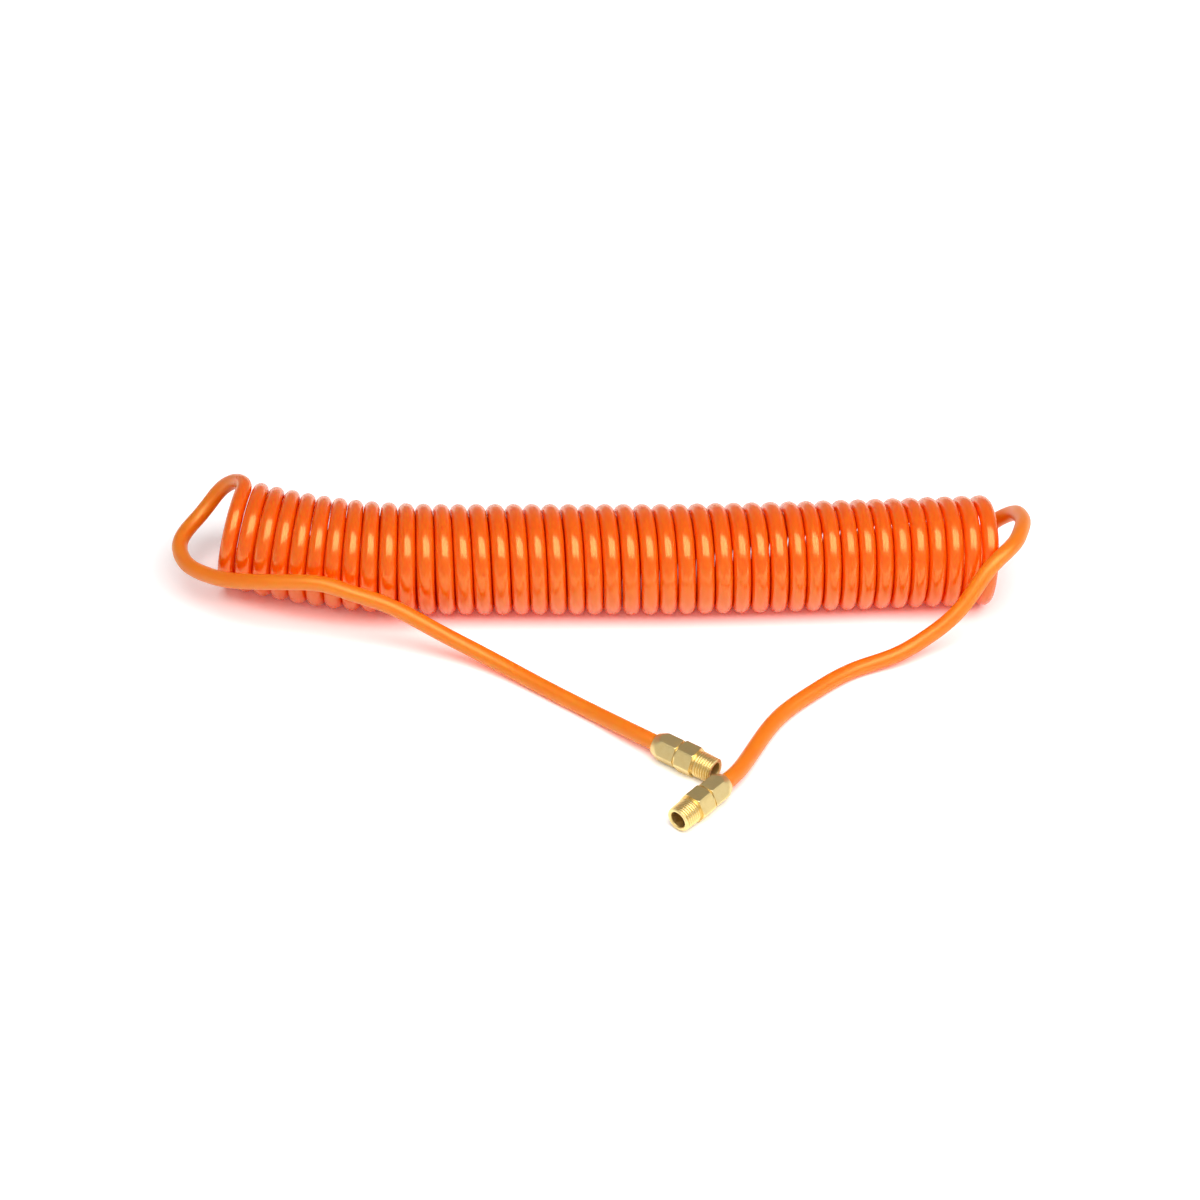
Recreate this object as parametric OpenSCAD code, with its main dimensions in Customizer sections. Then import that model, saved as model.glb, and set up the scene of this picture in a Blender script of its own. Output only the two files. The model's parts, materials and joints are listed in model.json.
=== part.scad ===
// A recoil air hose: one length of polyurethane tube, wound into a close coil, with a loose tail
// at each end and a brass swivel fitting with a male pipe thread on each tail.
// Millimetres. X runs along the coil, Z up, and the hose lies on the plane Z = 0.

/* [Hose] */
// Outside diameter of the hose
hose_d = 8; // [6:0.5:8.5]
// Bore of the hose
hose_bore_d = 5; // [4:0.1:5.4]

/* [Coil] */
// Number of turns of the coil
turns = 43; // [20:1:60]
// Mean diameter of a turn, between the centre lines of the hose
coil_mean_d = 48; // [40:0.5:60]
// Spacing of the turns along the middle of the coil
pitch_mid = 9.26; // [9:0.01:14]
// Turns at the left end that lie closer
left_close_turns = 8; // [0:1:16]
// Spacing of those turns
pitch_left = 8.65; // [8.6:0.01:14]
// Turns at the right end that lie closer
right_close_turns = 12; // [0:1:16]
// Spacing of those turns
pitch_right = 8.7; // [8.6:0.01:14]
// Depth of the flat where a turn stands on the ground
ground_flat = 0.8; // [0.4:0.1:1.2]

/* [Lie of the coil] */
// Turns at the left end that bend back
bent_turns = 13; // [4:1:16]
// How far the left end lies behind the middle of the coil
left_back = 22.5; // [0:0.5:30]
// Steepness of the left bend: 1 is a straight line, 2 a parabola
left_bend = 2.3; // [1:0.1:3]
// Swing of the first turn about the vertical, its front to the left
left_swing = 10.5; // [0:0.5:14]
// Lean of the first turn along the coil, its top to the right
left_lean = 11.8; // [0:0.1:14]
// Swing of the turns beyond the bend, their fronts to the right
mid_swing = 2.3; // [0:0.1:6]
// Lean of the turns beyond the bend, their tops to the right
mid_lean = 2.5; // [0:0.1:6]
// Turns at the right end that bow back
bowed_turns = 20; // [4:1:24]
// How far the right end lies behind the middle of the coil
right_back = 8; // [0:1:14]
// Steepness of the right bend
right_bend = 1.4; // [1:0.1:3]
// Lean of the last turn along the coil, its top to the right
right_lean = 6; // [0:0.5:10]

/* [Clamping nut] */
// Width of the nut across its flats
nut_af = 13; // [12.6:0.1:15]
// Length of the nut
nut_len = 13.5; // [12:0.5:18]
// Outside diameter of the nut's mouth
nut_mouth_d = 10.6; // [10:0.1:12]
// Length of the nut's taper
nut_taper_len = 5; // [2:0.1:7]
// Thickness of the nut's mouth, ahead of its inner cone
nut_neck_len = 2.5; // [1.5:0.1:3]
// Diameter of the inner cone at the neck
cone_small_d = 9.4; // [9.2:0.1:9.8]
// Diameter of the inner cone at the thread
cone_large_d = 10.6; // [10.2:0.1:10.8]
// Length of the inner cone
cone_len = 4; // [3:0.1:4.5]
// Width of the saw cut in the ferrule
ferrule_slit = 1; // [0.5:0.1:2]

/* [Stem] */
// Major diameter of the thread that carries the nut
clamp_thread_d = 11; // [10.9:0.1:11.4]
// Length of that thread
clamp_thread_len = 6; // [4:0.1:7]
// Depth of the socket that takes the hose's end
socket_depth = 3; // [1.5:0.1:4]
// Diameter over the barbs
barb_d = 5.4; // [5.2:0.1:6]
// Diameter of the stem between the barbs
barb_root_d = 4.6; // [4.2:0.1:4.9]
// Spacing of the barbs
barb_pitch = 2.5; // [1.5:0.1:3]
// Number of barbs
barbs = 3; // [1:1:3]
// Air way through the barbs
stem_bore_d = 3.2; // [2:0.1:3.6]
// Diameter of the flange between the nut and the swivel
flange_d = 12.6; // [12:0.1:13]
// Thickness of the flange
flange_t = 1.2; // [0.8:0.1:2]

/* [Swivel joint] */
// Bore in the nose that the stem turns in
swivel_d = 10; // [9.6:0.1:10.4]
// Length of the stem's shank in that bore
shank_len = 8.5; // [7.5:0.1:10]
// Air way through the shank
shank_bore_d = 5; // [4:0.1:5.2]
// Thickness of the retaining ring
ring_t = 1; // [0.6:0.1:1.4]
// Outside diameter of the retaining ring
ring_od = 10.9; // [10.6:0.1:11.2]
// Width of the retaining ring's section, across its radius
ring_w = 1.15; // [0.9:0.05:1.3]
// Distance of the retaining ring from the flange
ring_inset = 1.6; // [1:0.1:2.5]
// Opening of the retaining ring
ring_opening = 2; // [1:0.1:4]
// How much deeper the stem's groove is, so that the ring can be pressed in
ring_squeeze = 0.5; // [0.3:0.05:0.6]
// Diameter of the O-ring's seat on the shank
seal_seat_d = 7.4; // [7.1:0.1:7.6]
// Thickness of the O-ring's cord
seal_cord_d = 1.2; // [0.8:0.1:1.6]
// Width of the O-ring's groove
seal_groove_w = 1.9; // [1.6:0.1:2.2]
// Wall of the shank between the two grooves
seal_inset = 1.6; // [1:0.1:2.4]

/* [Nose] */
// Width of the nose's hexagon across its flats
nose_af = 14; // [13.6:0.1:16]
// Length of the nose's hexagon
nose_hex_len = 8.8; // [8.6:0.1:14]
// Major diameter of the pipe thread
port_thread_d = 13.157; // [12.6:0.001:13.6]
// Length of the pipe thread
port_thread_len = 9.7; // [8:0.1:14]
// Diameter of the relief between hexagon and thread
relief_d = 11.6; // [11.2:0.1:12.4]
// Width of that relief
relief_w = 0.9; // [0.5:0.1:2]
// Air way through the nose
port_bore_d = 8.4; // [6:0.1:8.8]

/* [Fits] */
// Clearance around the hose in the nut and the socket
hose_gap = 0.2; // [0.05:0.05:0.4]
// Clearance between the nut and its thread
thread_gap = 0.05; // [0.02:0.01:0.1]
// Clearance of the ferrule
ferrule_gap = 0.1; // [0.05:0.05:0.2]
// Radial running clearance of the swivel
run_gap = 0.05; // [0.02:0.01:0.1]
// Clearance at the faces that turn on each other
face_gap = 0.1; // [0.05:0.05:0.2]
// Chamfer on turned edges
chamfer = 0.5; // [0.2:0.1:0.8]

/* [Hidden] */

ORANGE = [1.0, 0.42, 0.08];
BRASS = [0.80, 0.65, 0.30];
STEEL = [0.70, 0.70, 0.72];
BLACK = [0.12, 0.12, 0.12];

hose_r = hose_d / 2;
bore_r = hose_bore_d / 2;
coil_r = coil_mean_d / 2;

// Centre of the first turn, and the line along which the middle of the coil lies.
coil_start_x = -186.3;
coil_y = 63.4;

// The hose leaves the coil at the top of the first turn, and three eighths of a turn before
// the top of the last one, where it climbs at the back.
first_turn = 0;
last_turn = turns - 3 / 8;

// Polygons: a turn has 8 rings of 6 sides, a tail has rings of 8 sides.
rings_per_turn = 8;
coil_sides = 6;
tail_sides = 8;
tangent_step = 0.001;

// Where each tail enters its fitting: the middle of the nut's mouth, and its heading in plan.
fit_a_at = [27.2, -52];
fit_a_turn = -35.5;
fit_b_at = [59, -80];
fit_b_turn = -131.5;
axis_z = max(nose_af, nut_af, flange_d) / 2;

// Free routes of the tails, from the coil to the fitting.
tail_a_route = [
    [-183, 100, 48], [-188, 105, 44], [-194, 106.5, 38.5], [-200, 103.5, 32],
    [-206, 97.5, 27], [-211.5, 89.5, 24.5], [-214, 80.5, 23], [-212, 71, 22.5],
    [-206.5, 61.5, 23.5], [-198, 54, 25], [-188, 47.5, 27], [-176, 43, 29.5],
    [-163.5, 39.5, 32], [-150, 37, 34], [-136.5, 34.5, 34.5], [-123.5, 31, 32],
    [-109, 28, 28.5], [-95, 24.5, 23], [-80, 20, 16], [-61, 13, 9],
    [-41, 1.5, 5], [-20, -14, 4], [0, -29.5, 4.5]];
tail_b_route = [
    [199.5, 96.5, 22], [206, 95.5, 29], [211, 90.5, 35.5], [212.5, 82.5, 40.5],
    [213, 73, 44], [211, 63.5, 46], [207.5, 54, 46.5], [201.5, 46, 45.5],
    [194, 39.5, 41.5], [187.5, 34, 34.5], [180.5, 28.5, 26], [172.5, 24, 19],
    [162, 19.5, 12.5], [148, 13.5, 7], [127, 5.5, 4.2], [105.5, -11, 4],
    [88, -29, 4], [77, -48, 4.5], [70.2, -62.8, 5.6]];

// The tails are laid for a coil whose first and last turn lie here. If such a turn moves, the points
// of the loop around it move along, and the rest of them less and less towards the fitting.
laid_first_x = -186.3;
laid_last_x = 197.0175;
loop_points = 9;

// Places along a fitting's axis, from the nut's mouth to the end of the nose.
collar_s = nut_len - clamp_thread_len;
socket_s = collar_s + socket_depth;
flange_s = nut_len;
shank_s = flange_s + flange_t;
hex_s = shank_s + face_gap;
shank_end_s = shank_s + shank_len;
ring_s = shank_s + ring_inset;
seal_s = ring_s + ring_t + face_gap + seal_inset;
swivel_end_s = shank_end_s + 3 * face_gap;
thread_s = hex_s + nose_hex_len + relief_w;
nose_end_s = thread_s + port_thread_len;
cone_s = nut_neck_len;
cone_end_s = cone_s + cone_len;
hose_end_s = socket_s - face_gap;

swivel_r = swivel_d / 2;
shank_r = swivel_r - run_gap;
seal_seat_r = seal_seat_d / 2;
seal_r = seal_cord_d / 2;

// Beyond the retaining ring the nose is bored to suit the O-ring, and the shank's end to suit that.
seal_bore_r = seal_seat_r + 2 * (seal_r + run_gap);
land_r = seal_bore_r - run_gap;

ring_outer_r = ring_od / 2;
ring_inner_r = ring_outer_r - ring_w;
hose_hole_r = hose_r + hose_gap;

// ---- The coil ----------------------------------------------------------------------------

// How far turn u lies into the bent left end, and into the bowed right end, from 0 to 1.
function left_share(u) = max(bent_turns - u, 0) / bent_turns;
function right_share(u) = max(u - (turns - bowed_turns), 0) / bowed_turns;

// Middle of turn u along X: the spacing changes twice.
function turn_x(u) = coil_start_x + pitch_left * min(u, left_close_turns)
    + pitch_mid * max(min(u, turns - right_close_turns) - left_close_turns, 0)
    + pitch_right * max(u - (turns - right_close_turns), 0);
function turn_y(u) = coil_y + left_back * pow(left_share(u), left_bend)
    + right_back * pow(right_share(u), right_bend);
function turn_swing(u) = left_swing * left_share(u) - mid_swing * (1 - left_share(u));
function turn_lean(u) = left_lean * left_share(u) + mid_lean * (1 - left_share(u))
    + (right_lean - mid_lean) * pow(right_share(u), 3);

// A leaning turn stands lower, so its middle comes down to keep it on the ground.
function turn_middle(u) = [turn_x(u), turn_y(u), coil_r * cos(turn_lean(u)) + hose_r - ground_flat];

// The turn's two own directions: towards its front, and towards its top.
function turn_front(u) = [-sin(turn_swing(u)), -cos(turn_swing(u)), 0];
function turn_top(u) = [cos(turn_swing(u)) * sin(turn_lean(u)),
    -sin(turn_swing(u)) * sin(turn_lean(u)), cos(turn_lean(u))];

// Outward direction at turn u, and the point on the hose's centre line.
function spoke(u) = turn_front(u) * sin(360 * u) + turn_top(u) * cos(360 * u);
function coil_point(u) = turn_middle(u) + coil_r * spoke(u);

function unit(v) = v / norm(v);
function coil_heading(u) = unit(coil_point(u + tangent_step) - coil_point(u - tangent_step));

// The part of a direction that lies square to another one.
function square_to(v, along) = unit(v - (v * along) * along);

// A ring is [centre, heading, side]. The coil's ends run straight for one hose diameter.
function coil_ring(u, run) = [coil_point(u) + run * coil_heading(u), coil_heading(u),
    square_to(spoke(u), coil_heading(u))];
coil_steps = round((last_turn - first_turn) * rings_per_turn);
coil_rings = concat([coil_ring(first_turn, -hose_d)],
    [for (i = [0 : coil_steps]) coil_ring(first_turn + i / rings_per_turn, 0)],
    [coil_ring(last_turn, hose_d)]);

// ---- Tubes -------------------------------------------------------------------------------

function ring_points(ring, r, sides) = [for (k = [0 : sides - 1])
    ring[0] + r * (cos(360 * k / sides) * ring[2] + sin(360 * k / sides) * cross(ring[1], ring[2]))];

// Two triangles for each side of a wall between ring i and ring i + 1. The inner wall is flipped.
function wall_faces(first, count, sides, flip) = [for (i = [0 : count - 2]) for (k = [0 : sides - 1])
    let (a = first + i * sides + k, b = first + i * sides + (k + 1) % sides, c = b + sides, d = a + sides)
    for (t = flip ? [[a, b, c], [a, c, d]] : [[a, c, b], [a, d, c]]) t];

// The flat ring that closes a hollow end.
function end_faces(outer, inner, sides, flip) = [for (k = [0 : sides - 1])
    let (a = outer + k, b = outer + (k + 1) % sides, c = inner + (k + 1) % sides, d = inner + k)
    for (t = flip ? [[a, c, b], [a, d, c]] : [[a, b, c], [a, c, d]]) t];

module tube(rings, sides) {
    count = len(rings);
    inner = count * sides;
    last = (count - 1) * sides;
    polyhedron(
        points = concat([for (g = rings) each ring_points(g, hose_r, sides)],
            [for (g = rings) each ring_points(g, bore_r, sides)]),
        faces = concat(wall_faces(0, count, sides, false), wall_faces(inner, count, sides, true),
            end_faces(0, inner, sides, false), end_faces(last, inner + last, sides, true)));
}

// Rings along a list of points: each stands square to the mean of the two runs that it joins,
// and its side direction is carried on from the ring before it.
function heading_at(p, i) = unit(p[min(i + 1, len(p) - 1)] - p[max(i - 1, 0)]);
function route_rings(p, first_heading, last_heading) = let (n = len(p),
    h = [for (i = [0 : n - 1]) i == 0 ? first_heading : i >= n - 2 ? last_heading : heading_at(p, i)])
    [for (i = 0, side = square_to([0, 0, 1], h[0]); i < n;
        i = i + 1, side = i < n ? square_to(side, h[i]) : side) [p[i], h[i], side]];

// ---- Routes of the tails -----------------------------------------------------------------

function plan_heading(turn) = [cos(turn), sin(turn), 0];
function on_axis(at, turn, s) = [at[0], at[1], axis_z] + s * plan_heading(turn);

// The last run is straight, from one hose diameter outside the nut to the bottom of the socket.
function into_fitting(at, turn) = [on_axis(at, turn, -hose_d), on_axis(at, turn, hose_end_s)];

// The whole move for the points of the loop, and none at the last point.
function moved_along(p, by) = let (last = len(p) - 1)
    [for (i = [0 : last]) p[i] + [by * min(1, (last - i) / (last + 1 - loop_points)), 0, 0]];

start_a = coil_rings[0];
start_b = coil_rings[len(coil_rings) - 1];
path_a = concat([start_a[0]], moved_along(tail_a_route, turn_x(first_turn) - laid_first_x),
    into_fitting(fit_a_at, fit_a_turn));
path_b = concat([start_b[0]], moved_along(tail_b_route, turn_x(last_turn) - laid_last_x),
    into_fitting(fit_b_at, fit_b_turn));
rings_a = route_rings(path_a, -start_a[1], plan_heading(fit_a_turn));
rings_b = route_rings(path_b, start_b[1], plan_heading(fit_b_turn));

function path_len(p) = let (runs = [for (i = [1 : len(p) - 1]) norm(p[i] - p[i - 1])])
    runs * [for (r = runs) 1];

// Least gap between the points of one turn and those of the next.
function rings_gap(a, b) = min([for (p = ring_points(a, hose_r, coil_sides))
    for (q = ring_points(b, hose_r, coil_sides)) norm(p - q)]);
coil_gap = min([for (i = [1 : coil_steps - rings_per_turn - 1]) for (k = [-1 : 1])
    rings_gap(coil_rings[i], coil_rings[i + rings_per_turn + k])]);
echo(least_gap_between_turns = coil_gap);
echo(coil_length = path_len([for (g = coil_rings) g[0]]), tail_a_length = path_len(path_a),
    tail_b_length = path_len(path_b));

// Each turn is cut flat where it stands on the ground.
module hose_coil() {
    reach = turns * pitch_mid;
    color(ORANGE) difference() {
        tube(coil_rings, coil_sides);
        translate([-reach, -reach, -hose_d]) cube([2 * reach, 2 * reach, hose_d]);
    }
}

module hose_tail_a() {
    color(ORANGE) tube(rings_a, tail_sides);
}

module hose_tail_b() {
    color(ORANGE) tube(rings_b, tail_sides);
}

// ---- Fittings: each piece is turned about Z, with the nut's mouth at 0 ---------------------

module at_fitting(at, turn) {
    translate([at[0], at[1], axis_z]) rotate([0, 90, turn]) children();
}

module hexagon(af, from, to) {
    rotate([0, 0, 30]) translate([0, 0, from]) cylinder(d = af / cos(30), h = to - from, $fn = 6);
}

module turned(outline) {
    rotate_extrude($fn = 96) polygon(outline);
}

module nut() {
    corner_r = nut_af / 2 / cos(30);
    thread_r = clamp_thread_d / 2 + thread_gap;
    difference() {
        intersection() {
            hexagon(nut_af, 0, nut_len);
            turned([[0, 0], [nut_mouth_d / 2, 0], [corner_r, nut_taper_len],
                [corner_r, nut_len - chamfer], [corner_r - chamfer, nut_len], [0, nut_len]]);
        }
        turned([[0, -1], [hose_hole_r, -1], [hose_hole_r, cone_s], [cone_small_d / 2, cone_s],
            [cone_large_d / 2, cone_end_s], [thread_r, cone_end_s], [thread_r, nut_len + 1],
            [0, nut_len + 1]]);
    }
}

// A split collet that the nut's cone closes on the hose.
module ferrule() {
    slope = (cone_large_d - cone_small_d) / 2 / cone_len;
    from = cone_s + ferrule_gap;
    to = collar_s - ferrule_gap;
    small_r = cone_small_d / 2 - ferrule_gap;
    large_r = cone_large_d / 2 - ferrule_gap;
    inner_r = hose_r + ferrule_gap / 5;
    difference() {
        turned([[inner_r, from], [small_r, from], [large_r, from + (large_r - small_r) / slope],
            [large_r, to], [inner_r, to]]);
        translate([0, -ferrule_slit / 2, from - 1]) cube([nut_af, ferrule_slit, to - from + 2]);
    }
}

// The barbed stem: barbs, the threaded collar with its socket, the flange and the swivel's shank.
module stem() {
    tip_s = socket_s - barbs * barb_pitch;
    collar_r = clamp_thread_d / 2;
    ring_floor_r = ring_inner_r - ring_squeeze;
    ring_from = ring_s - face_gap;
    ring_to = ring_s + ring_t + face_gap;
    step_s = shank_s + chamfer;
    turned(concat(
        [[stem_bore_d / 2, tip_s]],
        [for (i = [0 : barbs - 1]) each [[barb_root_d / 2, tip_s + i * barb_pitch],
            [barb_d / 2, tip_s + (i + 0.7) * barb_pitch], [barb_root_d / 2, tip_s + (i + 0.8) * barb_pitch]]],
        [[barb_root_d / 2, socket_s], [hose_hole_r, socket_s], [hose_hole_r, collar_s],
            [collar_r - chamfer, collar_s], [collar_r, collar_s + chamfer], [collar_r, flange_s],
            [flange_d / 2, flange_s], [flange_d / 2, shank_s], [shank_r, shank_s],
            [shank_r, ring_from], [ring_floor_r, ring_from], [ring_floor_r, ring_to],
            [land_r, ring_to], [land_r, seal_s], [seal_seat_r, seal_s],
            [seal_seat_r, seal_s + seal_groove_w], [land_r, seal_s + seal_groove_w],
            [land_r, shank_end_s - chamfer], [land_r - chamfer, shank_end_s],
            [shank_bore_d / 2, shank_end_s], [shank_bore_d / 2, step_s],
            [stem_bore_d / 2, step_s - chamfer]]));
}

module seal() {
    rotate_extrude($fn = 64) translate([seal_seat_r + run_gap + seal_r, seal_s + seal_groove_w / 2])
        circle(r = seal_r, $fn = 24);
}

module retaining_ring() {
    difference() {
        turned([[ring_inner_r, ring_s], [ring_outer_r, ring_s], [ring_outer_r, ring_s + ring_t],
            [ring_inner_r, ring_s + ring_t]]);
        translate([0, -ring_opening / 2, ring_s - 1]) cube([ring_od, ring_opening, ring_t + 2]);
    }
}

// The swivel nose: hexagon, relief and pipe thread, bored for the shank and for the air.
module nose() {
    corner_r = nose_af / 2 / cos(30);
    thread_r = port_thread_d / 2;
    groove_r = ring_outer_r + face_gap;
    hex_end_s = hex_s + nose_hex_len;
    port_r = port_bore_d / 2;
    difference() {
        union() {
            intersection() {
                hexagon(nose_af, hex_s, hex_end_s);
                turned([[0, hex_s], [corner_r - chamfer, hex_s], [corner_r, hex_s + chamfer],
                    [corner_r, hex_end_s - chamfer], [corner_r - chamfer, hex_end_s], [0, hex_end_s]]);
            }
            turned([[0, hex_end_s - 1], [relief_d / 2, hex_end_s - 1], [relief_d / 2, thread_s],
                [thread_r, thread_s + (thread_r - relief_d / 2)], [thread_r, nose_end_s - chamfer],
                [thread_r - chamfer, nose_end_s], [0, nose_end_s]]);
        }
        turned([[0, hex_s - 1], [swivel_r, hex_s - 1], [swivel_r, ring_s - face_gap],
            [groove_r, ring_s - face_gap], [groove_r, ring_s + ring_t + face_gap],
            [seal_bore_r, ring_s + ring_t + face_gap], [seal_bore_r, swivel_end_s],
            [port_r, swivel_end_s + (seal_bore_r - port_r)], [port_r, nose_end_s - chamfer],
            [port_r + chamfer * 2, nose_end_s + chamfer], [0, nose_end_s + chamfer]]);
    }
}

module nut_a() {
    color(BRASS) at_fitting(fit_a_at, fit_a_turn) nut();
}

module ferrule_a() {
    color(BRASS) at_fitting(fit_a_at, fit_a_turn) ferrule();
}

module stem_a() {
    color(BRASS) at_fitting(fit_a_at, fit_a_turn) stem();
}

module seal_a() {
    color(BLACK) at_fitting(fit_a_at, fit_a_turn) seal();
}

module ring_a() {
    color(STEEL) at_fitting(fit_a_at, fit_a_turn) retaining_ring();
}

module nose_a() {
    color(BRASS) at_fitting(fit_a_at, fit_a_turn) nose();
}

module nut_b() {
    color(BRASS) at_fitting(fit_b_at, fit_b_turn) nut();
}

module ferrule_b() {
    color(BRASS) at_fitting(fit_b_at, fit_b_turn) ferrule();
}

module stem_b() {
    color(BRASS) at_fitting(fit_b_at, fit_b_turn) stem();
}

module seal_b() {
    color(BLACK) at_fitting(fit_b_at, fit_b_turn) seal();
}

module ring_b() {
    color(STEEL) at_fitting(fit_b_at, fit_b_turn) retaining_ring();
}

module nose_b() {
    color(BRASS) at_fitting(fit_b_at, fit_b_turn) nose();
}

hose_coil();
hose_tail_a();
hose_tail_b();
nut_a();
ferrule_a();
stem_a();
seal_a();
ring_a();
nose_a();
nut_b();
ferrule_b();
stem_b();
seal_b();
ring_b();
nose_b();
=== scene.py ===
"""Coiled air hose: the finish of the hose and of its two brass swivel fittings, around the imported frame.

The hose is one length of tube, carried along its centre line from fitting A, through the coil, to
fitting B. The fittings are turned shapes, with hexagons and pipe threads cut into them.
All sizes are in metres.
"""

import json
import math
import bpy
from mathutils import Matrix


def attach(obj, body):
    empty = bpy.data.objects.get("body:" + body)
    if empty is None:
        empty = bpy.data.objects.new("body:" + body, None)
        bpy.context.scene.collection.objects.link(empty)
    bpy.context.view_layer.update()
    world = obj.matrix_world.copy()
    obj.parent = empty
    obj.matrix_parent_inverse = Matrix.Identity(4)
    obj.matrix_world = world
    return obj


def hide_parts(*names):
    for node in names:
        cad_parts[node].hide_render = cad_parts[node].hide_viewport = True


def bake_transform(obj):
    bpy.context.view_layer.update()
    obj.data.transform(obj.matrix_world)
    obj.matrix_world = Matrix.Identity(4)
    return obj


bl_info = {
    "name": "Coiled Air Hose",
    "version": (1, 0, 0),
    "blender": (4, 5, 0),
    "location": "View3D > Sidebar > Air Hose",
    "description": "Makes a coiled air hose with brass swivel fittings",
    "category": "Add Mesh",
}

import bpy
import numpy as np
from bpy.props import FloatProperty, FloatVectorProperty, IntProperty, PointerProperty
from mathutils import Vector

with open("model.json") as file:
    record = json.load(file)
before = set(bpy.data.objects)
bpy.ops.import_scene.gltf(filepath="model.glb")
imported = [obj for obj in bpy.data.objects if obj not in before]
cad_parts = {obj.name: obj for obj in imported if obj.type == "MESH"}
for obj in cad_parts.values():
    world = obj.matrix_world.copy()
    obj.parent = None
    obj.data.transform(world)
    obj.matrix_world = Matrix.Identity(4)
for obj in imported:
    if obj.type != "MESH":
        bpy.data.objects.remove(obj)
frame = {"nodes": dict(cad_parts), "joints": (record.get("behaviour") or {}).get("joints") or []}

SIDES = ("a", "b")
ROOT_BODY = "coil"
PULLED_BODY = "end_b"
# The bodies that carry fitting A and fitting B, and their turning noses.
FIXED_BODIES = (ROOT_BODY, PULLED_BODY)
SWIVEL_BODIES = ("swivel_a", "swivel_b")
TURN = 2 * math.pi

# Waves of the turns' uneven places, as (radians to a turn, radians at the start).
UNEVEN_WAVES = ((1.7, 0.0), (0.73, 2.0))
# Angles from a hexagon's corner to the middle of its flat, in degrees, closest at the corner.
HEXAGON_ANGLES = (0, 0.7, 1.6, 3, 5.5, 10, 16, 23, 30)
# Shares of a barb's pitch at which it is widest, and at which it has stepped down again.
BARB_CREST, BARB_BACK = 0.7, 0.8
# Rings of faces to a turn of the pipe thread.
STEPS_PER_THREAD = 14
# How round a thread's crests and roots are, from 0 for a square tooth to 1 for a plain wave.
THREAD_ROUNDNESS = 0.35
# How much rougher a metal is in its grooves.
GROOVE_ROUGHNESS = 0.25

# Free routes of the tails, from the coil to the fitting.
TAIL_A_ROUTE = (
    (-0.183, 0.1, 0.048), (-0.188, 0.105, 0.044), (-0.194, 0.1065, 0.0385), (-0.2, 0.1035, 0.032),
    (-0.206, 0.0975, 0.027), (-0.2115, 0.0895, 0.0245), (-0.214, 0.0805, 0.023),
    (-0.212, 0.071, 0.0225), (-0.2065, 0.0615, 0.0235), (-0.198, 0.054, 0.025), (-0.188, 0.0475, 0.027),
    (-0.176, 0.043, 0.0295), (-0.1635, 0.0395, 0.032), (-0.15, 0.037, 0.034), (-0.1365, 0.0345, 0.0345),
    (-0.1235, 0.031, 0.032), (-0.109, 0.028, 0.0285), (-0.095, 0.0245, 0.023), (-0.08, 0.02, 0.016),
    (-0.061, 0.013, 0.009), (-0.041, 0.0015, 0.005), (-0.02, -0.014, 0.004), (0.0, -0.0295, 0.0045),
)
TAIL_B_ROUTE = (
    (0.1995, 0.0965, 0.022), (0.206, 0.0955, 0.029), (0.211, 0.0905, 0.0355), (0.2125, 0.0825, 0.0405),
    (0.213, 0.073, 0.044), (0.211, 0.0635, 0.046), (0.2075, 0.054, 0.0465), (0.2015, 0.046, 0.0455),
    (0.194, 0.0395, 0.0415), (0.1875, 0.034, 0.0345), (0.1805, 0.0285, 0.026), (0.1725, 0.024, 0.019),
    (0.162, 0.0195, 0.0125), (0.148, 0.0135, 0.007), (0.127, 0.0055, 0.0042), (0.1055, -0.011, 0.004),
    (0.088, -0.029, 0.004), (0.077, -0.048, 0.0045), (0.0702, -0.0628, 0.0056),
)


def length(name, default, description):
    """A size in metres."""
    return FloatProperty(name=name, default=default, description=description, unit="LENGTH", precision=5)


def angle(name, degrees, description):
    """An angle, shown in degrees."""
    return FloatProperty(
        name=name, default=math.radians(degrees), description=description, subtype="ANGLE"
    )


def number(name, default, description):
    """A plain number."""
    return FloatProperty(name=name, default=default, description=description)


def count(name, default, description):
    """A whole number."""
    return IntProperty(name=name, default=default, description=description, min=1)


def colour(name, default, description):
    """A colour, as linear red, green and blue."""
    return FloatVectorProperty(
        name=name, default=default, description=description, subtype="COLOR", size=3, min=0, max=1
    )


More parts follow.
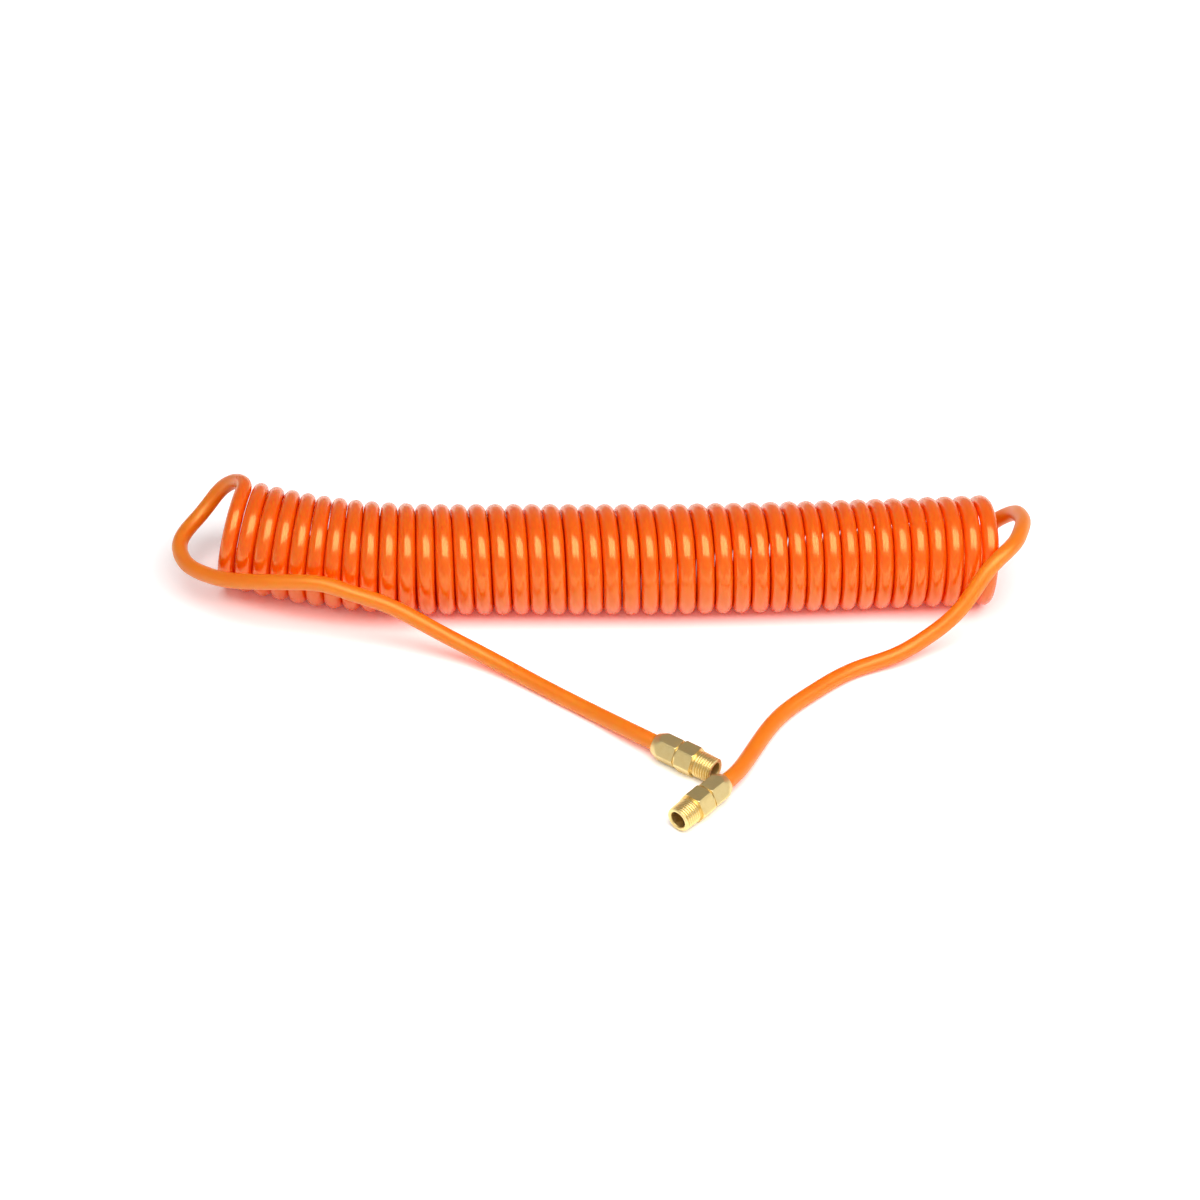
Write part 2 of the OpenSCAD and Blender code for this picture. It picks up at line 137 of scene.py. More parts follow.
class AirHoseTube(bpy.types.PropertyGroup):
    """Sizes of the hose and of its coil."""

    diameter: length("Diameter", 0.008, "Outside diameter of the hose")
    bore: length("Bore", 0.005, "Bore of the hose")
    coil_radius: length("Coil radius", 0.024, "From the coil's middle to the hose's centre line")
    turns: count("Turns", 43, "Number of turns of the coil")
    last_turn: number("Last turn", 42.625, "Turn at which the hose leaves the coil")
    start_x: length("Start", -0.1863, "Middle of the first turn along X")
    coil_y: length("Coil line", 0.0634, "Line along which the middle of the coil lies")
    pitch_middle: length("Middle pitch", 0.00926, "Spacing of the turns along the middle")
    left_close: count("Close turns, left", 8, "Turns at the left end that lie closer")
    pitch_left: length("Left pitch", 0.00865, "Spacing of those turns")
    right_close: count("Close turns, right", 12, "Turns at the right end that lie closer")
    pitch_right: length("Right pitch", 0.0087, "Spacing of those turns")
    ground_flat: length("Ground flat", 0.0008, "How far the turns sag where they stand on the ground")
    bent_turns: count("Bent turns", 13, "Turns at the left end that bend back")
    left_back: length("Left back", 0.0225, "How far the left end lies behind the middle")
    left_bend: number("Left bend", 2.3, "Steepness of the left bend")
    left_swing: angle("Left swing", 10.5, "Swing of the first turn about the vertical, its front to the left")
    left_lean: angle("Left lean", 11.8, "Lean of the first turn along the coil, its top to the right")
    middle_swing: angle("Middle swing", 2.3, "Swing of the turns beyond the bend, their fronts to the right")
    middle_lean: angle("Middle lean", 2.5, "Lean of the turns beyond the bend, their tops to the right")
    bowed_turns: count("Bowed turns", 20, "Turns at the right end that bow back")
    right_back: length("Right back", 0.008, "How far the right end lies behind the middle")
    right_bend: number("Right bend", 1.4, "Steepness of the right bend")
    right_lean: angle("Right lean", 6, "Lean of the last turn along the coil, its top to the right")
    lean_bend: number("Lean bend", 3, "Steepness with which the right lean grows")
    unevenness: length("Unevenness", 0.00012, "How far a turn strays from its even place")
    flattening: number("Flattening", 0.12, "Most that the winding has pressed the hose wider along the coil")
    turn_gap: length("Gap of the turns", 0.00035, "Least gap that the wider hose leaves to the next turn")
    socket_end: length("Socket end", 0.0104, "From the nut's mouth to the end of the hose")
    sides: count("Sides", 20, "Faces round the tube")
    rings_per_turn: count("Rings per turn", 36, "Rings of faces in a turn of the coil")
    tail_step: length("Tail step", 0.0024, "Spacing of the rings along a tail")
    tail_fade: length("Tail fade", 0.04, "Length over which the coil's colour turns into the tail's")


class AirHoseFitting(bpy.types.PropertyGroup):
    """Sizes of a swivel fitting, along its axis from the nut's mouth."""

    nut_flats: length("Nut flats", 0.013, "Width of the nut across its flats")
    nut_length: length("Nut length", 0.0135, "Length of the nut")
    mouth: length("Nut mouth", 0.0106, "Outside diameter of the nut's mouth")
    taper: length("Nut taper", 0.005, "Length of the nut's taper")
    neck: length("Nut neck", 0.0025, "Thickness of the nut's mouth")
    cone_small: length("Cone, small end", 0.0094, "Diameter of the nut's inner cone at the neck")
    cone_large: length("Cone, large end", 0.0106, "Diameter of the nut's inner cone at the thread")
    cone_length: length("Cone length", 0.004, "Length of the nut's inner cone")
    hose_hole: length("Hose hole", 0.0084, "Hole for the hose in the nut and the socket")
    clamp_thread: length("Clamp thread", 0.011, "Major diameter of the thread that carries the nut")
    clamp_length: length("Clamp thread length", 0.006, "Length of that thread")
    thread_gap: length("Thread gap", 0.00005, "Clearance of the nut on that thread")
    socket_depth: length("Socket depth", 0.003, "Depth of the socket that takes the hose's end")
    barb: length("Barb", 0.0054, "Diameter over the barbs")
    barb_root: length("Barb root", 0.0046, "Diameter of the stem between the barbs")
    barb_pitch: length("Barb pitch", 0.0025, "Spacing of the barbs")
    barbs: count("Barbs", 3, "Number of barbs")
    stem_bore: length("Stem bore", 0.0032, "Air way through the barbs")
    flange: length("Flange", 0.0126, "Diameter of the flange between nut and swivel")
    flange_length: length("Flange thickness", 0.0012, "Thickness of the flange")
    shank: length("Shank", 0.0099, "Diameter of the swivel's shank")
    shank_length: length("Shank length", 0.0085, "Length of the swivel's shank")
    shank_bore: length("Shank bore", 0.005, "Air way through the shank")
    ring_inset: length("Ring inset", 0.0016, "From the flange to the retaining ring")
    ring_width: length("Ring thickness", 0.001, "Thickness of the retaining ring")
    ring_floor: length("Ring groove floor", 0.0076, "Diameter of the shank in the ring's groove")
    ring_groove: length("Ring groove", 0.0111, "Diameter of the nose in the ring's groove")
    seal_seat: length("Seal seat", 0.0074, "Diameter of the shank in the seal's groove")
    seal_inset: length("Seal inset", 0.0017, "Wall of the shank between its two grooves")
    seal_groove: length("Seal groove", 0.0019, "Width of the seal's groove")
    gap: length("Gap", 0.0001, "Clearance between faces that turn on each other")
    nose_flats: length("Nose flats", 0.014, "Width of the nose's hexagon across its flats")
    nose_hexagon: length("Nose hexagon", 0.0088, "Length of the nose's hexagon")
    swivel_bore: length("Swivel bore", 0.010, "Bore in the nose that the shank turns in")
    relief: length("Relief", 0.0116, "Diameter of the relief behind the pipe thread")
    relief_length: length("Relief width", 0.0009, "Width of that relief")
    pipe_thread: length("Pipe thread", 0.013157, "Major diameter of the pipe thread")
    pipe_length: length("Pipe thread length", 0.0097, "Length of the pipe thread")
    pipe_pitch: length("Pipe thread pitch", 0.001337, "Pitch of the pipe thread")
    pipe_depth: length("Pipe thread depth", 0.00072, "Depth of the pipe thread")
    pipe_taper: number("Pipe taper", 1 / 16, "Change of the pipe thread's diameter along its length")
    port_bore: length("Port bore", 0.0084, "Air way through the nose")
    chamfer: length("Chamfer", 0.0005, "Chamfer on turned edges")
    easing: length("Easing", 0.00018, "Radius to which sharp edges are eased")
    step: length("Step", 0.00025, "Longest step along a turned outline")


class AirHoseFinish(bpy.types.PropertyGroup):
    """Colours and gloss."""

    hose: colour("Hose", (1.0, 0.107, 0.001), "Colour of the coiled hose")
    hose_tail: colour("Hose tails", (1.0, 0.18, 0.001), "Colour of the straightened tails")
    hose_deep: colour("Hose, deep", (0.99, 0.084, 0.001), "Colour of the hose's darker clouds")
    hose_gloss: number("Hose roughness", 0.2, "Roughness of the clean hose")
    hose_dull: number("Hose, rubbed", 0.26, "Roughness of the hose where it has been rubbed")
    tail_dull: number("Hose tails, duller", 0.2, "How much rougher the handled tails are")
    hose_ior: number("Hose IOR", 1.6, "Refractive index of the hose")
    hose_specular: number("Hose specular", 1.0, "Level of the hose's reflections")
    hose_glint: colour("Hose glint", (1.0, 0.78, 0.3), "Tint of the hose's reflections")
    hose_depth: length("Hose depth", 0.005, "How deep light runs in the hose")
    hose_reach: FloatVectorProperty(
        name="Hose reach", default=(1.0, 0.25, 0.06), description="Shares of that depth by colour"
    )
    brass: colour("Brass", (0.88, 0.68, 0.30), "Colour of freshly cut brass")
    brass_nut: colour("Brass, nuts", (0.76, 0.60, 0.28), "Colour of the nuts' paler brass")
    brass_dull: colour("Brass, dull", (0.66, 0.47, 0.17), "Colour of brass that has dulled in its grooves")
    nut_gloss: number("Nut roughness", 0.34, "Roughness of the nuts")
    stem_gloss: number("Stem roughness", 0.22, "Roughness of the stems")
    nose_gloss: number("Nose roughness", 0.26, "Roughness of the noses")
    ferrule_gloss: number("Ferrule roughness", 0.3, "Roughness of the ferrules")
    steel: colour("Steel", (0.56, 0.57, 0.58), "Colour of the retaining rings")
    steel_dull: colour("Steel, dull", (0.28, 0.27, 0.26), "Colour of the rings where they have dulled")
    steel_gloss: number("Steel roughness", 0.32, "Roughness of the rings")
    rubber: colour("Rubber", (0.018, 0.018, 0.019), "Colour of the seals")
    rubber_grey: colour("Rubber, dusty", (0.05, 0.05, 0.048), "Colour of the seals where dust clings")


class AirHoseStage(bpy.types.PropertyGroup):
    """Camera, floor and light."""

    target: FloatVectorProperty(
        name="Target", default=(0, 0.0638, 0), description="Point that the camera looks at", size=3
    )
    elevation: angle("Elevation", 40, "Height of the camera above the horizon")
    distance: length("Distance", 1.7, "From the camera to its target")
    lens: number("Lens", 100, "Focal length in millimetres, on a sensor 36 wide")
    floor_size: length("Floor size", 16.0, "Width of the floor")
    floor: number("Floor", 0.85, "Paleness of the floor as it lights the hose")
    floor_near: number("Floor near", 1.12, "Paleness of the floor as seen, by the hose")
    floor_far: number("Floor far", 3.0, "Paleness of the floor as seen, where the softbox hardly reaches it")
    near: length("Near", 0.3, "Distance up to which the floor is near")
    far: length("Far", 1.5, "Distance from which the floor is far")
    front: number("Front", 0.62, "Strength of the light from low in front")
    back: number("Back", 0.5, "Strength of the light from low behind")
    sky: number("Sky", 0.26, "Strength of the light from high up")
    bounces: count("Bounces", 20, "Times that light goes on from surface to surface")
    diffuse_bounces: count("Diffuse bounces", 16, "Times that it goes on from matt surfaces")
    box_power: number("Softbox", 30.5, "Power of the softbox, in watts")
    box_length: length("Softbox length", 2.2, "Length of the softbox along the coil")
    box_width: length("Softbox width", 1.0, "Width of the softbox")
    box_place: FloatVectorProperty(
        name="Softbox place", default=(0.5, -0.48, 1.25), description="Middle of the softbox", size=3
    )


def sizes_of(context):
    """The property groups, as (tube, fitting, finish, stage)."""
    scene = context.scene
    return scene.air_hose_tube, scene.air_hose_fitting, scene.air_hose_finish, scene.air_hose_stage


# ---- Vectors and surfaces ------------------------------------------------------------------


def unit(v):
    """Vectors divided by their lengths."""
    return v / np.linalg.norm(v, axis=-1, keepdims=True)


def running_length(line):
    """Distance along a line of points, from its first point."""
    return np.concatenate([[0.0], np.cumsum(np.linalg.norm(np.diff(line, axis=0), axis=1))])


def add_object(name, data):
    """A new object in the scene."""
    made = bpy.data.objects.new(name, data)
    bpy.context.scene.collection.objects.link(made)
    return made


def grid_object(name, points, attributes):
    """A mesh from a grid of points that closes on itself both ways, like the skin of a ring.

    points[i, j] is joined to points[i + 1, j] and points[i, j + 1], and both indexes wrap round.
    Each attribute is an array of one number or one vector for each point.
    """
    rows, columns = points.shape[:2]
    index = np.arange(rows * columns).reshape(rows, columns)
    across, along = np.roll(index, -1, axis=1), np.roll(index, -1, axis=0)
    corner = np.roll(along, -1, axis=1)
    quads = np.stack([index, across, corner, along], axis=-1).reshape(-1, 4)
    mesh = bpy.data.meshes.new(name)
    mesh.from_pydata(points.reshape(-1, 3), [], quads)
    for key, values in attributes.items():
        vector = values.ndim == 3
        layer = mesh.attributes.new(key, "FLOAT_VECTOR" if vector else "FLOAT", "POINT")
        layer.data.foreach_set("vector" if vector else "value", values.astype(np.float32).ravel())
    mesh.shade_smooth()
    mesh.update()
    return add_object(name, mesh)


def spline(points, first_slope, last_slope, step):
    """A smooth curve through the points, as points about one step apart.

    Each run is a cubic of the distance between its two points. The slopes at the points are
    solved for, so that slope and bend are equal where two runs meet. The end slopes are given.
    """
    points = np.asarray(points, float)
    at = running_length(points)
    run = np.diff(at)
    rise = np.diff(points, axis=0) / run[:, None]
    n = len(points)
    system = np.eye(n)
    target = np.zeros((n, 3))
    target[0], target[-1] = first_slope, last_slope
    inner = np.arange(1, n - 1)
    system[inner, inner - 1] = 1 / run[:-1]
    system[inner, inner] = 2 / run[:-1] + 2 / run[1:]
    system[inner, inner + 1] = 1 / run[1:]
    target[inner] = 3 * (rise[:-1] / run[:-1, None] + rise[1:] / run[1:, None])
    slope = np.linalg.solve(system, target)
    where = np.linspace(0, at[-1], max(2, round(at[-1] / step) + 1))
    k = np.clip(np.searchsorted(at, where, side="right") - 1, 0, n - 2)
    h = run[k, None]
    t = ((where - at[k])[:, None]) / h
    return (
        points[k] * (1 + 2 * t) * (1 - t) ** 2
        + slope[k] * h * t * (1 - t) ** 2
        + points[k + 1] * t**2 * (3 - 2 * t)
        - slope[k + 1] * h * t**2 * (1 - t)
    )


def carried_sides(heading, first):
    """A direction square to each heading, carried along without twist from the first one.

    Each is the one before it, less its part along the new heading.
    """
    sides = np.empty_like(heading)
    side = first
    for i, h in enumerate(heading):
        side = side - (side @ h) * h
        side = side / math.sqrt(side @ side)
        sides[i] = side
    return sides


# ---- The hose ------------------------------------------------------------------------------


def coil_points(tube, u):
    """The hose's centre line in the coil, at turn numbers u.

    A turn is a circle about a middle that moves along X by the spacing of the turns. At both
    ends the middle bends back by a power of the share of the way into that end. The circle
    swings about the vertical and leans along the coil, most at the ends, and comes down to
    stay on the ground.
    """
    left = np.clip(tube.bent_turns - u, 0, None) / tube.bent_turns
    right = np.clip(u - (tube.turns - tube.bowed_turns), 0, None) / tube.bowed_turns
    closing = tube.turns - tube.right_close
    x = tube.start_x + tube.pitch_left * np.minimum(u, tube.left_close)
    x = x + tube.pitch_middle * np.clip(np.minimum(u, closing) - tube.left_close, 0, None)
    x = x + tube.pitch_right * np.clip(u - closing, 0, None)
    uneven = sum(np.sin(u * rate + start) for rate, start in UNEVEN_WAVES)
    x = x + tube.unevenness * uneven * np.sin(math.pi * u / tube.last_turn) ** 2
    y = tube.coil_y + tube.left_back * left**tube.left_bend + tube.right_back * right**tube.right_bend
    swing = tube.left_swing * left - tube.middle_swing * (1 - left)
    lean = tube.left_lean * left + tube.middle_lean * (1 - left)
    lean = lean + (tube.right_lean - tube.middle_lean) * right**tube.lean_bend
    z = tube.coil_radius * np.cos(lean) + tube.diameter / 2 - tube.ground_flat
    front = np.stack([-np.sin(swing), -np.cos(swing), 0 * u], axis=-1)
    top = np.stack([np.cos(swing) * np.sin(lean), -np.sin(swing) * np.sin(lean), np.cos(lean)], axis=-1)
    a = (TURN * u)[:, None]
    return np.stack([x, y, z], axis=-1) + tube.coil_radius * (front * np.sin(a) + top * np.cos(a))


def sagged(tube, line):
    """The line with its underside raised, so that the whole tube stays above the ground.

    Heights within four flats of the lowest one follow a cubic that starts level at one tube
    radius and ends at the old height with the old slope.
    """
    radius = tube.diameter / 2
    reach = 4 * tube.ground_flat
    t = (line[:, 2] - radius + tube.ground_flat) / reach
    cubic = (reach - tube.ground_flat) * (3 * t**2 - 2 * t**3) + reach * (t**3 - t**2)
    out = line.copy()
    out[:, 2] = np.where(t < 1, radius + np.where(t > 0, cubic, 0), line[:, 2])
    return out


def fitting_axis(side):
    """(middle of the nut's mouth, heading towards the nose) of a fitting, from its swivel joint."""
    joint = next(j for j in frame["joints"] if j["name"] == f"swivel_{side}")
    return np.array(joint["pos_m"], float), unit(np.array(joint["axis"], float))


def tail_points(tube, side, u, route):
    """A tail's centre line, from the coil's end at turn u to the hose's end in the fitting."""
    nudge = 1e-4
    nearby = coil_points(tube, np.array([u - nudge, u, u + nudge]))
    leaving = unit(nearby[2] - nearby[0]) * (-1 if side == "a" else 1)
    mouth, heading = fitting_axis(side)
    start = nearby[1] + tube.diameter * leaving
    stops = [nearby[1], start, *route, mouth - tube.diameter * heading, mouth + tube.socket_end * heading]
    line = spline(stops, leaving, heading, tube.tail_step)
    line[:, 2] = np.maximum(line[:, 2], tube.diameter / 2)
    return line


def share_of_pull(tube, u):
    """How much of the pulled end's travel turn u takes, from 0 to 1.

    It grows evenly along the coil, and starts and stops growing over the first and last half turn.
    """
    t = np.clip(u / tube.last_turn, 0, 1)
    end = 0.5 / tube.last_turn
    even = (t - end / 2) / (1 - end)
    start = t**2 / (2 * end) / (1 - end)
    stop = 1 - (1 - t) ** 2 / (2 * end) / (1 - end)
    return np.where(t < end, start, np.where(t > 1 - end, stop, even))


def room_beside(line, apart):
    """From each ring's middle to the nearer of the two turns beside it, square to the hose."""
    between = line[apart:] - line[:-apart]
    heading = unit(np.gradient(line, axis=0))[:-apart]
    between = between - (between * heading).sum(axis=1)[:, None] * heading
    far = np.linalg.norm(between, axis=1)
    room = np.full(len(line), np.inf)
    room[:-apart] = far
    room[apart:] = np.minimum(room[apart:], far)
    return room


def hose_line(tube):
    """(centre line, share of pull, share of the tail's colour, widening) at each ring, from A to B."""
    steps = round(tube.last_turn * tube.rings_per_turn)
    u = np.linspace(0, tube.last_turn, steps + 1)
    coil = sagged(tube, coil_points(tube, u))
    tail_a = tail_points(tube, "a", 0.0, TAIL_A_ROUTE)[:0:-1]
    tail_b = tail_points(tube, "b", tube.last_turn, TAIL_B_ROUTE)[1:]
    line = np.concatenate([tail_a, coil, tail_b])
    share = np.concatenate([np.zeros(len(tail_a)), share_of_pull(tube, u), np.ones(len(tail_b))])
    far_a, far_b = running_length(tail_a[::-1])[::-1], running_length(tail_b)
    faded = [np.minimum(far / tube.tail_fade, 1) for far in (far_a, far_b)]
    tail = np.concatenate([faded[0], 0 * u, faded[1]])
    # The hose is pressed wider as far as the turns beside it leave room. It is round again
    # half a turn before it leaves the coil.
    pressed = (room_beside(coil, tube.rings_per_turn) - tube.turn_gap) / tube.diameter - 1
    inside = np.clip(2 * np.minimum(u, tube.last_turn - u), 0, 1)
    wider = np.concatenate([0 * far_a, np.clip(pressed, 0, tube.flattening) * inside, 0 * far_b])
    return line, share, tail, wider


def tube_grid(line, sides, outer, inner, columns):
    """A hollow tube as one closed grid: the outer wall forwards, then the inner wall backwards.

    A point is the ring's centre, plus the radius times cos(a) of the side direction and sin(a)
    of the direction square to it. Returns the points, and the same points on a straight tube.
    """
    heading = unit(np.gradient(line, axis=0))
    other = np.cross(heading, sides)
    a = np.arange(columns) * TURN / columns
    spread = np.cos(a)[None, :, None] * sides[:, None] + np.sin(a)[None, :, None] * other[:, None]
    walls = [line[:, None] + r * spread for r in (outer, inner)]
    far = np.broadcast_to(running_length(line)[:, None], (len(line), columns))
    round_x, round_y = np.cos(a) + 0 * far, np.sin(a) + 0 * far
    flat = [np.stack([r * round_x, r * round_y, far], axis=-1) for r in (outer, inner)]
    return np.concatenate([walls[0], walls[1][::-1]]), np.concatenate([flat[0], flat[1][::-1]])


def there_and_back(values, columns):
    """Values of the rings, for both walls of a tube and every point of a ring."""
    both = np.concatenate([values, values[::-1]])
    return np.repeat(both[:, None], columns, axis=1)


class AIRHOSE_OT_hose(bpy.types.Operator):
    """Make the hose: one tube from fitting A, through the coil, to fitting B"""

    bl_idname = "air_hose.hose"
    bl_label = "Hose"

    def execute(self, context):
        tube, _, finish, _ = sizes_of(context)
        line, share, tail, wider = hose_line(tube)
        heading = unit(np.gradient(line, axis=0))
        sides = carried_sides(heading, unit(np.cross(heading[0], (0, 0, 1.0))))
        points, flat = tube_grid(line, sides, tube.diameter / 2, tube.bore / 2, tube.sides)
        beside = points[..., 0] - there_and_back(line[:, 0], tube.sides)
        points[..., 0] += there_and_back(wider, tube.sides) * beside
        points[..., 2] = np.maximum(points[..., 2], 0)
        attributes = {"straight": flat, "tail": there_and_back(tail, tube.sides)}
        hose = grid_object("air_hose", points, attributes)
        hose.data.materials.append(hose_material(finish))
        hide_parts("hose_coil", "hose_tail_a", "hose_tail_b")
        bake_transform(hose)
        return {"FINISHED"}


# ---- Turned pieces -------------------------------------------------------------------------


def eased(outline, radius):
    """A closed outline with each corner replaced by a short curve.

    The curve starts and ends a radius, or a third of the shorter side, from the corner, and its
    middle is the mean of the corner and the chord's middle.
    """
    outline = np.asarray(outline, float)
    before, after = np.roll(outline, 1, axis=0) - outline, np.roll(outline, -1, axis=0) - outline
    sides = [np.hypot(v[:, 0], v[:, 1]) for v in (before, after)]
    cut = np.minimum(radius, np.minimum(*sides) / 3)[:, None]
    start = outline + before / sides[0][:, None] * cut
    end = outline + after / sides[1][:, None] * cut
    middle = (start + end + 2 * outline) / 4
    return np.stack([start, middle, end], axis=1).reshape(-1, outline.shape[1])


def dense(outline, step):
    """A closed outline with points added, so that none lie further apart than a step."""
    closed = np.concatenate([outline, outline[:1]])
    pieces = []
    for a, b in zip(closed[:-1], closed[1:]):
        n = max(1, math.ceil(math.hypot(*(b - a)[:2]) / step))
        pieces.append(a + (b - a) * (np.arange(n) / n)[:, None])
    return np.concatenate(pieces)


def hexagon_columns():
    """Angles round a hexagonal piece: close together near its corners, wider along its flats."""
    half = np.radians(HEXAGON_ANGLES)
    side = np.concatenate([half, math.pi / 3 - half[-2:0:-1]])
    return (np.arange(6)[:, None] * math.pi / 3 + side).ravel()


def soft_least(radius, a, flats, power=70):
    """The smaller of the outline's radius and the hexagon's at angle a, with the edge eased.

    Their inverses are raised to a high power and summed, and the sum's root is turned over. The
    hexagon's inverse radius is the cosine of the angle to each of its six flats, over half the
    width across flats; one flat faces down.
    """
    normals = math.pi / 6 + np.arange(6) * math.pi / 3
    cosines = np.clip(np.cos(a[:, None] - normals), 0, None)
    hexagon = ((cosines / (flats / 2)) ** power).sum(axis=1)
    scale = flats / 2
    total = (scale / radius) ** power + hexagon[None] * scale**power
    return scale * total ** (-1 / power)


def thread_cut(along, a, pitch, depth, depth_share):
    """How deep a right-hand thread is cut at a distance along the axis and an angle.

    The tooth is a wave of the distance in pitches less the angle in turns, with its crests and
    roots rounded and its flanks straight.
    """
    phase = along / pitch - a / TURN
    wave = np.cos(TURN * phase)
    tooth = 0.5 - 0.5 * wave / np.sqrt(THREAD_ROUNDNESS + (1 - THREAD_ROUNDNESS) * wave**2)
    return depth * depth_share * tooth


def bulge(points):
    """How far each point of a closed grid stands out from its neighbours, over their distance.

    It is positive on edges and crests, and negative in grooves.
    """
    near = [np.roll(points, shift, axis=axis) for axis in (0, 1) for shift in (1, -1)]
    along, across = near[1] - near[0], near[3] - near[2]
    normal = np.cross(across, along)
    normal = normal / np.maximum(np.linalg.norm(normal, axis=-1, keepdims=True), 1e-12)
    height = ((points - sum(near) / 4) * normal).sum(axis=-1)
    reach = np.minimum(np.linalg.norm(along, axis=-1), np.linalg.norm(across, axis=-1)) / 2
    return np.clip(height / np.maximum(reach, 1e-6), -1, 1)


def turned_piece(name, side, outline, columns, step, flats=None, thread=None):
    """A turned piece of a fitting, from its closed outline.

    The outline's points are (distance along the axis, radius, thread share), and it is turned
    about the fitting's axis. Where flats is given, the radius is held inside a hexagon, and
    thread is (pitch, depth, taper) of the thread cut where the share is 1.
    """
    ring = dense(outline, step)
    along, radius, share = ring[:, 0, None], ring[:, 1, None], ring[:, 2, None]
    r = radius + 0 * columns
    if flats:
        r = soft_least(r, columns, flats)
    if thread:
        pitch, depth, taper = thread
        start = along[share[:, 0] > 0].min()
        r = r - share * (along - start) * taper / 2 - thread_cut(along, columns, pitch, depth, share)
    mouth, heading = fitting_axis(side)
    up = np.array([0, 0, 1.0])
    aside = np.cross(up, heading)
    spoke = np.cos(columns)[:, None] * aside + np.sin(columns)[:, None] * up
    points = mouth + along[..., None] * heading + r[..., None] * spoke
    # On the axis' own frame, for patterns that follow the cutting tool.
    lathe = np.stack([along + 0 * r, r * np.cos(columns), r * np.sin(columns)], axis=-1)
    return grid_object(name, points, {"lathe": lathe, "bulge": bulge(points)})


def round_columns(n=72):
    """Even angles round a turned piece."""
    return np.arange(n) * TURN / n


def plain(outline):
    """An outline with no thread anywhere."""
    return [(s, r, 0) for s, r in outline]


def nut_outline(fit):
    """Clamping nut: tapered mouth, hexagon, inner cone and thread."""
    corner = fit.nut_flats / 2 / math.cos(math.pi / 6)
    bore = fit.clamp_thread / 2 + fit.thread_gap
    cone_end = fit.neck + fit.cone_length
    return plain([
        (0, fit.hose_hole / 2),
        (0, fit.mouth / 2),
        (fit.taper, corner),
        (fit.nut_length - fit.chamfer, corner),
        (fit.nut_length, corner - fit.chamfer),
        (fit.nut_length, bore),
        (cone_end, bore),
        (cone_end, fit.cone_large / 2),
        (fit.neck, fit.cone_small / 2),
        (fit.neck, fit.hose_hole / 2),
    ])


def stem_outline(fit):
    """Stem: barbs, threaded collar with its socket, flange, and shank with its two grooves."""
    collar = fit.nut_length - fit.clamp_length
    socket = collar + fit.socket_depth
    tip = socket - fit.barbs * fit.barb_pitch
    flange_end = fit.nut_length + fit.flange_length
    end = flange_end + fit.shank_length
    ring = flange_end + fit.ring_inset - fit.gap
    ring_end = ring + fit.ring_width + 2 * fit.gap
    seal = ring_end + fit.seal_inset - fit.gap
    step = flange_end + fit.chamfer
    barbs = [(tip, fit.stem_bore / 2)]
    for i in range(fit.barbs):
        barbs += [
            (tip + i * fit.barb_pitch, fit.barb_root / 2),
            (tip + (i + BARB_CREST) * fit.barb_pitch, fit.barb / 2),
            (tip + (i + BARB_BACK) * fit.barb_pitch, fit.barb_root / 2),
        ]
    collar_r, shank = fit.clamp_thread / 2, fit.shank / 2
    return plain(barbs + [
        (socket, fit.barb_root / 2),
        (socket, fit.hose_hole / 2),
        (collar, fit.hose_hole / 2),
        (collar, collar_r - fit.chamfer),
        (collar + fit.chamfer, collar_r),
        (fit.nut_length, collar_r),
        (fit.nut_length, fit.flange / 2),
        (flange_end, fit.flange / 2),
        (flange_end, shank),
        (ring, shank),
        (ring, fit.ring_floor / 2),
        (ring_end, fit.ring_floor / 2),
        (ring_end, shank),
        (seal, shank),
        (seal, fit.seal_seat / 2),
        (seal + fit.seal_groove, fit.seal_seat / 2),
        (seal + fit.seal_groove, shank),
        (end - fit.chamfer, shank),
        (end, shank - fit.chamfer),
        (end, fit.shank_bore / 2),
        (step, fit.shank_bore / 2),
        (step - fit.chamfer, fit.stem_bore / 2),
    ])


def nose_outline(fit):
    """Nose: hexagon, relief, pipe thread and port bore, with the swivel bore and its ring groove."""
    corner = fit.nose_flats / 2 / math.cos(math.pi / 6)
    flange_end = fit.nut_length + fit.flange_length
    hexagon = flange_end + fit.gap
    hexagon_end = hexagon + fit.nose_hexagon
    thread = hexagon_end + fit.relief_length
    end = thread + fit.pipe_length
    crest, relief = fit.pipe_thread / 2, fit.relief / 2
    bore, port = fit.swivel_bore / 2, fit.port_bore / 2
    shank_end = flange_end + fit.shank_length + 3 * fit.gap
    ring = flange_end + fit.ring_inset - fit.gap
    ring_end = ring + fit.ring_width + 2 * fit.gap
    run_in = thread + (crest - relief)
    return [
        (hexagon, bore, 0),
        (hexagon, corner - fit.chamfer, 0),
        (hexagon + fit.chamfer, corner, 0),
        (hexagon_end - fit.chamfer, corner, 0),
        (hexagon_end, corner - fit.chamfer, 0),
        (hexagon_end, relief, 0),
        (thread, relief, 0),
        (run_in, crest, 0),
        (run_in + fit.pipe_pitch / 2, crest, 1),
        (end - fit.chamfer, crest, 1),
        (end, crest - fit.pipe_depth - fit.pipe_taper * fit.pipe_length / 2, 0),
        (end, port + fit.chamfer, 0),
        (end - fit.chamfer, port, 0),
        (shank_end + (bore - port), port, 0),
        (shank_end, bore, 0),
        (ring_end, bore, 0),
        (ring_end, fit.ring_groove / 2, 0),
        (ring, fit.ring_groove / 2, 0),
        (ring, bore, 0),
    ]


def make_pair(name, node, bodies, material, *shape):
    """Make a turned brass piece for each fitting. It stands for its CAD node and rides on its body."""
    for side, body in zip(SIDES, bodies):
        made = turned_piece(f"{name}_{side}", side, *shape)
        made.data.materials.append(material)
        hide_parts(f"{node}_{side}")
        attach(made, body)


